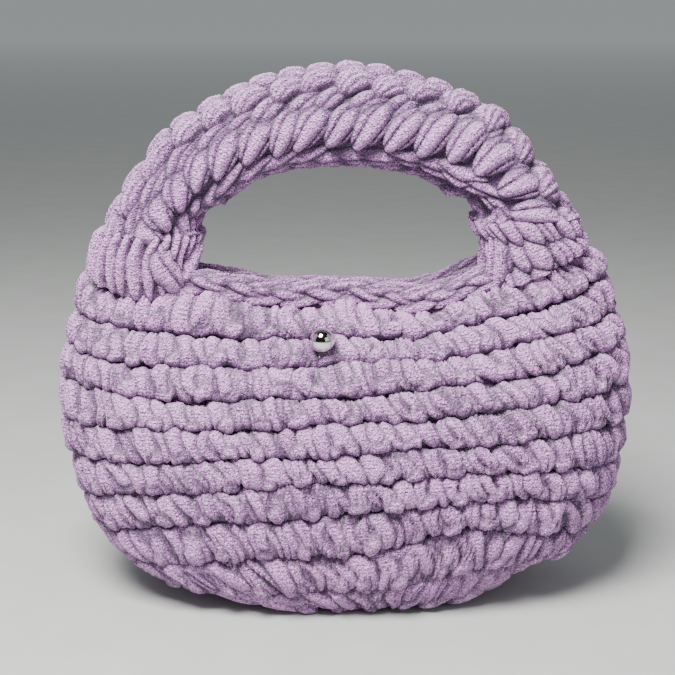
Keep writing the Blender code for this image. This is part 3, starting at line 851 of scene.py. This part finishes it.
# Creases of a relief: how far they reach between lumps and between strands, their depth, and how far their
# painted shade darkens; then how painted shade darkens low places, from a depth on
LUMP_CREASE_REACH = 0.0016
STRAND_CREASE_REACH = 0.00085
LUMP_CREASE_DEPTH = 0.0005
LUMP_CREASE_SHADE = 0.80
LOW_PLACE = 0.0048
LOW_SHADE = 0.78


def skin_places(first, last, rings, around):
    """Places of a skin's points: along the piece, in even steps from first to last, and round it."""
    return np.broadcast_arrays(np.linspace(first, last, rings)[:, None], round_angles(around)[None])


def skin_grid(points, uv, tint, light, mirrored):
    """The grid of a skin. A mirrored skin runs round the other way, so that it still faces outwards."""
    way = -1 if mirrored else 1
    return points[:, ::way], uv[:, ::way], tint[:, ::way], light[:, ::way]


class Relief:
    """Height of many lumps over a grid of places on a surface: at each place the highest lump shows."""

    def __init__(self, along, across, girth, ground):
        self.along = along
        self.across = across
        self.girth = girth
        self.best = np.full(along.shape, ground)
        self.second = np.full(along.shape, ground - 0.002)
        self.tint = np.full(along.shape, 0.5)
        self.groove = np.zeros(along.shape)
        self.uv = np.stack([along, across], axis=-1)

    def lay(self, lump, tint, stretch=1.0):
        """Lays a lump: an oval crown on a bowed line, parted into crowned strands by fine creases. Stretch is
        the surface's length over the grid's along the piece."""
        long = lump.long / 1000
        wide = lump.wide / 1000
        forward = (self.along - lump.along) * stretch
        outer = self.girth / 2 - np.mod(self.across - lump.across + self.girth / 2, self.girth)
        lean = math.radians(lump.lean)
        u = (forward * math.cos(lean) + outer * math.sin(lean)) / long
        v = (outer * math.cos(lean) - forward * math.sin(lean) - lump.bow / 1000 * (0.6 - u**2)) / wide
        v = v / (1 - 0.30 * np.clip(u**2, 0.0, 1.0))
        size = np.abs(u) ** 2.3 + np.abs(v) ** 2.1
        inside = size < 1
        edges = np.array(lump.edges)
        strand = np.clip(np.searchsorted(edges, v, side="right") - 1, 0, len(edges) - 2)
        half = (edges[strand + 1] - edges[strand]) / 2
        share = np.clip((v - edges[strand] - half) / half, -1.0, 1.0)
        height = (lump.lift + lump.crown * crown(np.sqrt(np.clip(size, 0.0, 1.0)))) / 1000
        height = height + np.minimum(0.72 * half * wide, 0.0021) * crown(0.99 * share)
        height = height - lump.tilt / 1000 * np.clip(u, -1, 1)
        height = np.where(inside, height, -1.0)
        wins = height > self.best
        self.second = np.where(wins, self.best, np.maximum(self.second, height))
        self.best = np.where(wins, height, self.best)
        self.tint = np.where(wins, tint + 0.17 * strand % 1.0, self.tint)
        gap = (1 - np.abs(share)) * half * wide
        self.groove = np.where(wins, np.exp(-gap / STRAND_CREASE_REACH), self.groove)
        self.uv = np.where(wins[..., None], np.stack([u * long, v * wide], axis=-1), self.uv)

    def finish(self, draw):
        """Heights with an uneven pile, tints, and painted light that falls into painted shade in the creases
        and low places.
        """
        crease = np.maximum(np.exp(-(self.best - self.second) / LUMP_CREASE_REACH), 0.90 * self.groove)
        low = np.clip((self.best + LOW_PLACE) / 0.0052, 0.0, 1.0)
        light = (1 - LUMP_CREASE_SHADE * crease) * (1 - LOW_SHADE + LOW_SHADE * low)
        height = self.best - LUMP_CREASE_DEPTH * crease + pile(self.best.shape, PILE, draw)
        return height, np.clip(self.tint, 0.0, 1.0), light


# Bands of lumps that run along the handle. Turn is the band's middle in degrees from its outermost line
# towards the front, drift what it moves by at the right foot; leans are from the handle's run at its left
# foot, its top and its right foot.
Band = namedtuple("Band", "turn drift left top right long wide bow crown lift tilt edges phase lobes")
ARCS = (-1.0, -0.50, -0.05, 0.38, 1.0)
ARCS_BEHIND = (-1.0, -0.38, 0.05, 0.50, 1.0)
LEAF = (-1.0, -0.62, 0.38, 1.0)
LEAF_BEHIND = (-1.0, -0.38, 0.62, 1.0)
PAIR = (-1.0, -0.10, 1.0)
PLAIN = (-1.0, 1.0)
HANDLE_BANDS = (
    Band(164, 0, 0, 5, 10, 9.4, 5.4, -1.5, 2.8, -0.6, 0.3, PAIR, 0.30, 15),
    Band(-162, 0, 0, 5, 10, 9.0, 4.8, -1.5, 2.6, -0.9, 0.3, PAIR, 0.80, 15),
    Band(134, -20, 22, 10, 12, 10.4, 5.6, -2.8, 3.4, 0.0, 0.5, PAIR, 0.10, 15),
    Band(-130, 20, 20, 10, 12, 10.2, 5.4, 2.8, 3.2, -0.3, 0.5, PAIR, 0.45, 15),
    Band(68, -10, 26, 40, 80, 10.0, 5.6, 1.0, 3.0, -1.2, 0.5, PAIR, 0.35, 15),
    Band(-68, 10, 26, 40, 70, 10.0, 5.6, -1.0, 3.0, -1.2, 0.5, PAIR, 0.65, 15),
    Band(-92, 10, 30, 47, 70, 13.0, 6.6, -1.2, 4.6, 0.4, 1.2, LEAF_BEHIND, 0.20, 15),
    Band(-40, 0, 20, 34, 76, 10.8, 7.2, -3.4, 5.2, 0.6, 1.1, ARCS_BEHIND, 0.90, 15),
    Band(-4, 0, 8, 12, 40, 9.4, 7.2, 1.2, 7.2, 1.3, 0.4, ARCS, 0.55, 18),
    Band(93, -24, 30, 48, 88, 12.8, 6.4, 1.2, 5.4, 0.8, 1.6, LEAF, 0.62, 15),
    Band(38, -12, 18, 32, 86, 10.6, 7.0, 3.4, 6.0, 1.2, 1.5, ARCS, 0.00, 15),
)
HANDLE_RADIUS = 0.0205
ARCH_RADIUS = 0.080

# Shares of the handle's length between which the lean passes from its left foot to its top and its right foot
LEAN_PLACES = (0.0, 0.18, 0.36, 0.60, 0.84, 1.0)

# How deep the ends of the arch and of the roots sink into their neighbours
HANDLE_SINK = 0.0085
ROOT_SINK = 0.0055


def handle_relief(along, across, draw):
    """The handle's bands of overlapping lumps, laid from the inside of the arch to its front and top."""
    relief = Relief(along, across, 2 * math.pi * HANDLE_RADIUS, -0.0042)
    for band in HANDLE_BANDS:
        stretch = 1 + HANDLE_THICKNESS / 2 * math.cos(math.radians(band.turn)) / ARCH_RADIUS
        for lobe in range(-2, band.lobes + 2):
            share = (lobe + 0.5 + band.phase - 0.3) / band.lobes
            turn = math.radians(band.turn + band.drift * min(max((share - 0.62) / 0.2, 0.0), 1.0))
            leans = (band.left, band.left, band.top, band.top, band.right, band.right)
            lean = float(np.interp(share, LEAN_PLACES, leans))
            size = draw.uniform(0.93, 1.08)
            lump = Lump((share + draw.normal(0, 0.004)) * HANDLE_LENGTH,
                        (turn + draw.normal(0, 0.035)) * HANDLE_RADIUS, lean + draw.normal(0, 4),
                        band.long * size, band.wide * size, band.bow, band.crown,
                        band.lift + draw.normal(0, 0.25), band.tilt, band.edges)
            relief.lay(lump, draw.uniform(0.0, 0.6), stretch)
    return relief


def make_handle():
    """The arched handle: one closed skin over its bands of lumps."""
    draw = np.random.default_rng(31)
    share, turn = skin_places(-0.05, 1.05, 400, 224)
    relief = handle_relief(share * HANDLE_LENGTH, turn * HANDLE_RADIUS, draw)
    height, tint, light = relief.finish(draw)
    past = np.clip(np.abs(share - 0.5) - 0.5, 0.0, 0.05) / 0.05
    height = height - HANDLE_SINK * np.clip((past - 0.05) / 0.75, 0.0, 1.0) ** 1.3
    points = handle_surface(share, turn, height)[0]
    piece = grid_mesh("handle_stitches", [(points, relief.uv, tint, light)], YARN, True)
    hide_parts("handle_arch")
    return [piece]


ROOT_RADIUS = 0.0215


def root_tall(side, turn):
    """Length of a root from the wall to its seam, at turns round it."""
    foot = root_form(side, turn, np.zeros(np.shape(turn)))
    seam = root_form(side, turn, np.ones(np.shape(turn)))
    return np.linalg.norm(seam - foot, axis=-1)


def root_lumps(side, draw):
    """Lumps of a root, with places up from its seam and round it from its outer side towards the front. The
    left root has upright strands in a fan and a slanting pair beside the mouth; the right root has tiers
    of wraps that lean to the left, and an upright loop beside the mouth."""
    lumps = []
    if side < 0:
        count = 29
        for i in range(count):
            turn = (i + draw.normal(0, 0.10)) * 2 * math.pi / count
            tall = float(root_tall(side, np.array(turn))) * 1000
            lean = draw.normal(3, 2.0)
            lift = draw.normal(1.5, 0.25) - 0.9 * max(0.0, -math.cos(turn))
            lumps.append(Lump(-tall / 2000 - 0.0005, turn * ROOT_RADIUS, lean, tall / 2 + 4.0, 2.6, 0.8, 3.6,
                              lift, -0.3, PLAIN))
        lumps.append(Lump(-0.0150, 2.06 * ROOT_RADIUS, 36, 13.0, 6.6, 0.8, 5.4, 3.6, 0.0, PAIR))
        lumps.append(Lump(-0.0125, 2.70 * ROOT_RADIUS, -36, 10.5, 4.3, 0.5, 4.6, 3.4, 0.0, PLAIN))
        return lumps
    count = 18
    for tier, level in ((0, -0.0265), (1, -0.0150), (2, -0.0035)):
        for i in range(count):
            turn = (i + 0.33 * tier) * 2 * math.pi / count + draw.normal(0, 0.03)
            lean = -27 + draw.normal(0, 5)
            lift = draw.normal(0.8, 0.3) - 0.8 * max(0.0, -math.cos(turn))
            lumps.append(Lump(level + 0.0016 * math.cos(turn), turn * ROOT_RADIUS, lean, 7.8, 4.6, 0.6, 4.4,
                              lift, 0.0, PAIR if i % 3 == 0 else PLAIN))
    lumps.append(Lump(-0.0190, 2.36 * ROOT_RADIUS, 6, 13.0, 6.6, 1.0, 4.6, 2.6, 0.0, PAIR))
    lumps.append(Lump(-0.0195, 2.95 * ROOT_RADIUS, 0, 12.0, 5.4, 1.0, 4.6, 0.9, 0.0, PAIR))
    return lumps


def make_root(side, name, node):
    """A handle foot: one closed skin over its lumps, from the top row up into the arch."""
    draw = np.random.default_rng(40 + side)
    share, turn = skin_places(-0.14, 1.16, 68, 268)
    below = (share - 1) * root_tall(side, turn)
    relief = Relief(below, turn * ROOT_RADIUS, 2 * math.pi * ROOT_RADIUS, -0.0030)
    for lump in root_lumps(side, draw):
        relief.lay(lump, draw.uniform(0.0, 0.8))
    height, tint, light = relief.finish(draw)
    height = height - ROOT_SINK * np.clip((share - 0.90) / 0.22, 0.0, 1.0) ** 1.4
    points = root_surface(side, turn, share, height)[0]
    piece = grid_mesh(name, [skin_grid(points, relief.uv, tint, light, side > 0)], YARN, True)
    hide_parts(node)
    return [piece]


# Bands of almond lumps along a rim. Turn is the band's middle in degrees from the side away from the mouth
# upwards; the other values are as in a lump.
RimBand = namedtuple("RimBand", "turn lean long wide bow crown lift tilt edges phase")
RIM_BANDS = (
    RimBand(-140, 6, 11.0, 3.7, 0.4, 4.0, -0.3, 0.3, PLAIN, 0.80),
    RimBand(160, -10, 11.0, 3.8, 0.5, 4.0, 0.0, 0.3, PLAIN, 0.35),
    RimBand(-80, 0, 11.0, 3.7, -0.4, 4.0, -0.2, 0.3, PLAIN, 0.30),
    RimBand(106, 16, 12.5, 4.0, 0.7, 4.4, 0.2, 0.4, PLAIN, 0.65),
    RimBand(52, -17, 12.0, 4.3, 0.7, 4.6, 0.6, 0.6, PAIR, 0.15),
    RimBand(14, 16, 11.0, 3.6, 0.6, 4.2, 0.5, 0.5, PLAIN, 0.55),
    RimBand(-30, -8, 11.5, 3.9, -0.6, 4.6, 1.0, 0.6, PLAIN, 0.00),
)
RIM_PITCH = 0.0160
RIM_RADIUS = 0.0062
RIM_TALL = 0.0068
RIM_DEEP = 0.0050
RIM_DROP = 0.0030


def make_rim(side, name, node):
    """A plaited rim: one closed skin over bands of almond lumps along the mouth, its rings upright ovals at
    each x. Turn 0 faces away from the mouth and a quarter turn faces up."""
    draw = np.random.default_rng(50 + side)
    left = root_place(-1) + ROOT_WIDTH / 2 - 0.004
    right = root_place(1) - ROOT_WIDTH / 2 + 0.004
    x, turn = skin_places(left - 0.002, right + 0.002, 215, 64)
    relief = Relief(x - left, turn * RIM_RADIUS, 2 * math.pi * RIM_RADIUS, -0.0016)
    for band in RIM_BANDS:
        for lobe in range(-1, int((right - left) / RIM_PITCH) + 2):
            size = draw.uniform(0.90, 1.12)
            relief.lay(Lump((lobe + band.phase + draw.normal(0, 0.05)) * RIM_PITCH,
                            (math.radians(band.turn) + draw.normal(0, 0.08)) * RIM_RADIUS,
                            band.lean + draw.normal(0, 3), band.long * size, band.wide * size, band.bow,
                            band.crown, band.lift + draw.normal(0, 0.15), band.tilt, band.edges),
                       draw.uniform(0.0, 0.8))
    height, tint, light = relief.finish(draw)
    points = rim_centre(side, x)
    points[..., 1] += side * np.cos(turn) * (RIM_DEEP + height)
    sag = BACK_RIM_SAG * bump(x, LIP_LIFT_PLACE, LIP_REACH) if side > 0 else 0.0
    points[..., 2] += np.sin(turn) * (RIM_TALL + height) - RIM_DROP - sag
    piece = grid_mesh(name, [skin_grid(points, relief.uv, tint, light, side < 0)], YARN, True)
    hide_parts(node)
    return [piece]


# Rounds of the base's strands: where they start and end as shares of its size, how many strands, and the
# seed of their pile
BaseRound = namedtuple("BaseRound", "outer inner count seed")
BASE_ROUNDS = (BaseRound(1.0, 0.55, 40, 60), BaseRound(0.60, 0.12, 24, 9660))
BASE_SWIRL = 0.16

# Rings of the plain core behind the base's strands: size as a share and height
BASE_CORE = ((0.92, 0.0030), (0.985, 0.0045), (0.985, 0.0085), (0.94, BASE_THICKNESS), (0.5, 0.0094))

def make_base():
    """The oval base: rounds of short strands laid across, flat underneath, on a plain core."""
    draw = np.random.default_rng(60)
    t = stations()[None, :]
    grids = []
    for laid in BASE_ROUNDS:
        angle = (np.arange(laid.count) + draw.uniform(-0.1, 0.1, laid.count)) * 2 * math.pi / laid.count
        size = laid.outer + (laid.inner - laid.outer) * t
        x, y = base_oval(angle[:, None] + BASE_SWIRL * (t - 0.5), size)
        z = np.broadcast_to(0.0030 + 0.0024 * (1 - np.sin(math.pi * t) ** 0.6), x.shape)
        down = np.broadcast_to((0.0, 0.0, -1.0), x.shape + (3,))
        # Painted shade towards the ends of each strand, lighter in its middle
        light = 0.35 + 0.6 * np.clip(np.sin(math.pi * t), 0, 1) ** 0.7
        grids += strand_grids(np.stack([x, y, z], axis=-1), down, 0.0032 * np.clip(size, 0.5, 1.0), 0.0030,
                              draw.uniform(0, 1, laid.count), light, laid.seed)
    for grid in grids:
        grid[0][..., 2] = np.maximum(grid[0][..., 2], FLOOR_GAP)
    piece = grid_mesh("base_stitches", grids, YARN, True)
    angle = round_angles(96)
    rings = [np.stack([*base_oval(angle, size), np.full(96, height)], axis=-1) for size, height in BASE_CORE]
    # The base's core is painted in shade through its low light value
    core = shell("base_inside", np.array(rings), YARN, True, 0.5)
    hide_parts("base_oval")
    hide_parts("base_oval")
    return [piece, core]


def make_stud():
    """The ball stud, turned from its profile of radii and heights: flange, neck and ball."""
    seat, across, upward, outward = stud_axes()
    ball = BALL_DIAMETER / 2
    neck = NECK_DIAMETER / 2
    flange = FLANGE_DIAMETER / 2
    neck_top = FLANGE_THICKNESS + NECK_LENGTH
    meet = math.asin(neck / ball)
    centre = neck_top + ball * math.cos(meet)
    edge = np.linspace(-math.pi / 2, math.pi / 2, 9)
    lip = FLANGE_THICKNESS / 2
    profile = [(flange - lip + lip * math.cos(a), lip + lip * math.sin(a)) for a in edge]
    profile += [(neck * 1.15, FLANGE_THICKNESS), (neck, FLANGE_THICKNESS * 1.3), (neck, neck_top)]
    around = np.linspace(math.pi - meet, 0.02, 40)[1:]
    profile += [(ball * math.sin(a), centre + ball * math.cos(a)) for a in around]
    profile = np.array(profile)
    turn = round_angles(72)
    wheel = np.cos(turn)[:, None] * across + np.sin(turn)[:, None] * upward
    rings = seat + profile[:, 0, None, None] * wheel + profile[:, 1, None, None] * outward
    piece = shell("ball_stud", rings, METAL, True, 1.0)
    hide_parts("snap_ball")
    return piece


# Camera: its angle above the bag, its distance, and its focal length in pixels of a frame 675 wide
ELEVATION = math.radians(15.0)
DISTANCE = 0.56
AIM = Vector((-0.002, 0.0, 0.112))
FOCAL = 1315.5
FRAME_SIZE = 675
FRAME_MIDDLE = (340.0, 338.8)


def make_camera():
    """The camera looks down a little at the bag's front."""
    data = bpy.data.cameras.new("camera")
    data.sensor_width = 36.0
    data.lens = FOCAL / FRAME_SIZE * data.sensor_width
    data.shift_x = (FRAME_SIZE / 2 - FRAME_MIDDLE[0]) / FRAME_SIZE
    data.shift_y = (FRAME_MIDDLE[1] - FRAME_SIZE / 2) / FRAME_SIZE
    camera = bpy.data.objects.new("camera", data)
    camera.location = AIM + DISTANCE * Vector((0.0, -math.cos(ELEVATION), math.sin(ELEVATION)))
    camera.rotation_euler = (math.pi / 2 - ELEVATION, 0.0, 0.0)
    bpy.context.scene.collection.objects.link(camera)
    bpy.context.scene.camera = camera


# Lamps, each a soft square light that faces the bag's middle
Lamp = namedtuple("Lamp", "name place size power colour")
LAMPS = (
    Lamp("key", (-0.18, -0.42, 0.82), 0.36, 25.0, (1.0, 0.985, 0.965)),
    Lamp("fill", (0.70, -0.70, 0.45), 0.60, 1.0, (0.95, 0.97, 1.0)),
)
LAMP_TARGET = (0.0, 0.0, 0.10)
SKY = (0.80, 0.83, 0.86, 1.0)
SKY_STRENGTH = 0.50

# The floor, and a dark card in front of it that stands and folds back overhead, a painted reflection of a
# dark room for the polished ball
FLOOR_REACH = 60.0
FLOOR_TONES = ((0.412, 0.426, 0.412), (0.440, 0.454, 0.440))
CARD_TONE = (0.012, 0.013, 0.010)
CARD_SIDE = 2.5
CARD_FRONT = -1.2
CARD_BACK = 1.6
CARD_TOP = 3.2


def flat_piece(name, corners, faces, material):
    """A flat piece of the studio."""
    mesh = bpy.data.meshes.new(name)
    mesh.from_pydata(corners, [], faces)
    mesh.materials.append(material)
    piece = bpy.data.objects.new(name, mesh)
    bpy.context.scene.collection.objects.link(piece)
    return piece


def make_floor():
    """The matt pale floor, with painted shade a little behind the bag and painted light far away."""
    finish = Finish("pale_floor")
    tone = finish.mix(finish.ranged(finish.noise(30.0, 4.0, 0.6), 0.3, 0.7), *FLOOR_TONES)
    back = finish.node("SeparateXYZ", {0: finish.place}).outputs["Y"]
    # Painted light and shade: the floor's tone falls behind the bag and rises far away
    scale = finish.times(finish.ranged(back, 0.0, 0.8, 1.0, 0.80), finish.ranged(back, 1.0, 6.0, 1.0, 2.15))
    colour = finish.node("VectorMath", {0: tone, "Scale": scale}, operation="SCALE").outputs[0]
    finish.fill(finish.shader, {"Base Color": colour, "Roughness": 0.9, "Specular IOR Level": 0.0})
    far = FLOOR_REACH
    flat_piece("floor", [(-far, -far, 0.0), (far, -far, 0.0), (far, far, 0.0), (-far, far, 0.0)],
               [(0, 1, 2, 3)], finish.material)


def make_card():
    """The dark card, which only the polished ball shows: a painted reflection, hidden from the camera, from
    diffuse light and from shadows.
    """
    finish = Finish("dark_card")
    finish.fill(finish.shader, {"Base Color": CARD_TONE, "Roughness": 0.9})
    corners = [(side * CARD_SIDE, depth, height) for depth, height in
               ((CARD_FRONT, 0.0), (CARD_FRONT, CARD_TOP), (CARD_BACK, CARD_TOP)) for side in (-1, 1)]
    card = flat_piece("dark_card", corners, [(0, 2, 3, 1), (2, 4, 5, 3)], finish.material)
    card.visible_camera = False
    card.visible_diffuse = False
    card.visible_shadow = False


def make_lights():
    """An even sky and the lamps."""
    world = bpy.data.worlds.new("studio")
    world.use_nodes = True
    sky = world.node_tree.nodes["Background"]
    sky.inputs["Color"].default_value = SKY
    sky.inputs["Strength"].default_value = SKY_STRENGTH
    bpy.context.scene.world = world
    for lamp in LAMPS:
        data = bpy.data.lights.new(lamp.name, "AREA")
        data.size = lamp.size
        data.energy = lamp.power
        data.color = lamp.colour
        light = bpy.data.objects.new(lamp.name, data)
        light.location = lamp.place
        light.rotation_euler = (Vector(LAMP_TARGET) - Vector(lamp.place)).to_track_quat("-Z", "Y").to_euler()
        bpy.context.scene.collection.objects.link(light)


def main():
    """Makes every piece, lets it ride on the part's one body and gives the snap post the polished metal."""
    yarn_pieces = make_body() + make_handle() + make_base()
    yarn_pieces += make_root(-1, "root_left_stitches", "root_left")
    yarn_pieces += make_root(1, "root_right_stitches", "root_right")
    yarn_pieces += make_rim(-1, "rim_front_plait", "rim_front")
    yarn_pieces += make_rim(1, "rim_back_plait", "rim_back")
    stud = make_stud()
    for piece in yarn_pieces:
        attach(piece, "root")
    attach(stud, "root")
    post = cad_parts["snap_post"]
    post.data.materials.clear()
    post.data.materials.append(METAL)
    make_camera()
    make_floor()
    make_card()
    make_lights()


main()
